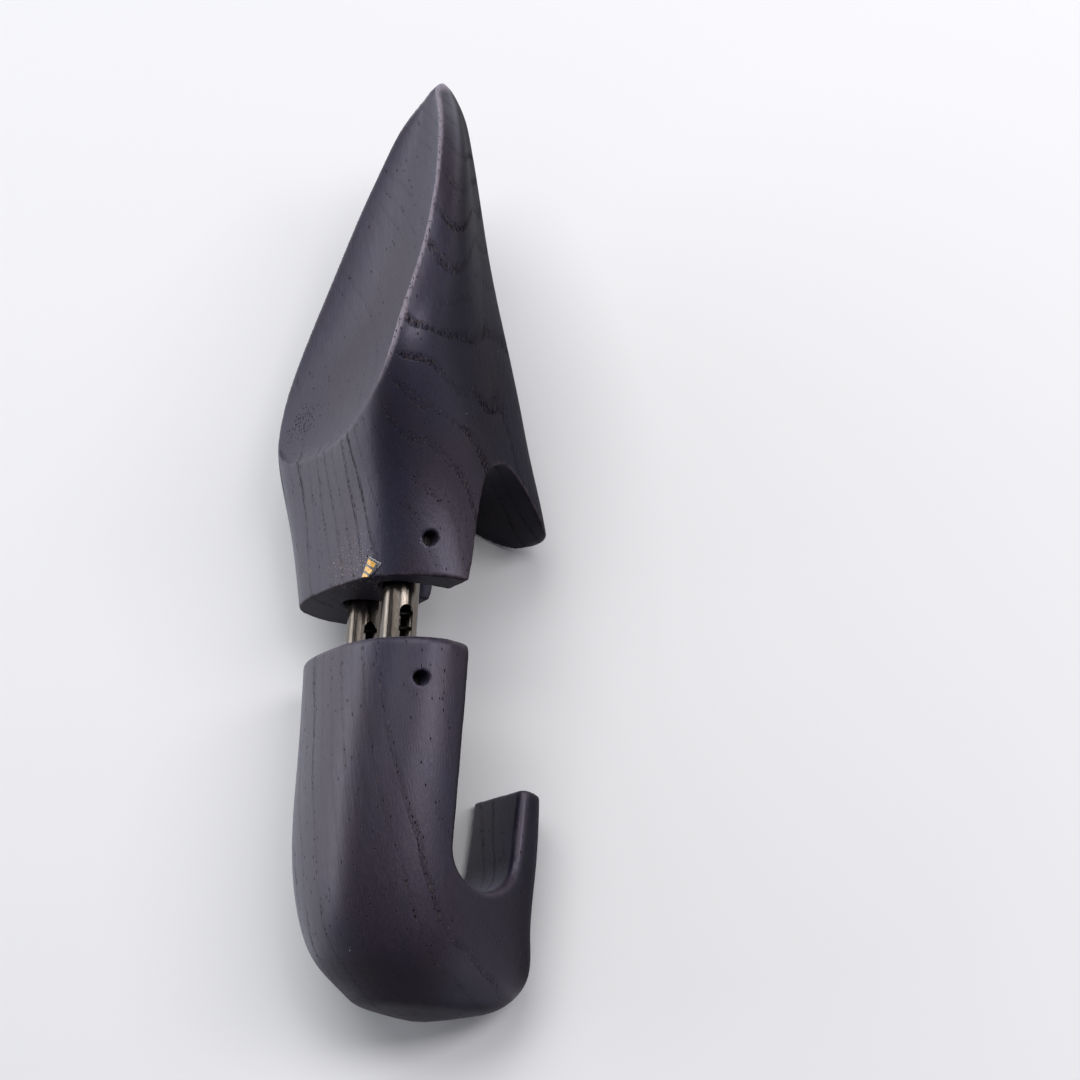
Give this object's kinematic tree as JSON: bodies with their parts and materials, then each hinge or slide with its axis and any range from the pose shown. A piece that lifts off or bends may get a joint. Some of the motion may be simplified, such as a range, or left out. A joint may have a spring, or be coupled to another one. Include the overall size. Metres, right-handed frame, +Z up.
{
  "type": "shoe tree",
  "caption": "Stained wooden shoe tree for a right shoe: hollowed forepart and hooked heel block, sprung on two slotted steel tubes.",
  "frame": {"origin": "bottom centre of the box of the tree as it lies on its outer side", "axes": "+X towards the toe, along the tubes within 3 degrees; +Z up from the table it lies on; +Y towards the sole side"},
  "size_m": [0.2914, 0.0904, 0.0945],
  "materials": {
    "wood": "satin",
    "steel": "polished",
    "spring_steel": "satin",
    "film": "gloss"
  },
  "bodies": {
    "forepart_body": {"forepart": "wood", "tube_medial": "steel", "tube_lateral": "steel", "forepart_pin": "steel", "spring_medial": "spring_steel", "spring_lateral": "spring_steel", "size_sticker": "film"},
    "heel_body": {"heel_block": "wood", "heel_pin": "steel"}
  },
  "joints": [
    {"name": "heel_slide", "type": "slide", "parent": "forepart_body", "child": "heel_body", "axis": [0.9989, 0, 0.0464], "range_m": [0, 0.018], "stiffness_N_per_m": 1500, "springref_m": -0.004, "deforming": ["spring_medial", "spring_lateral"]}
  ]
}
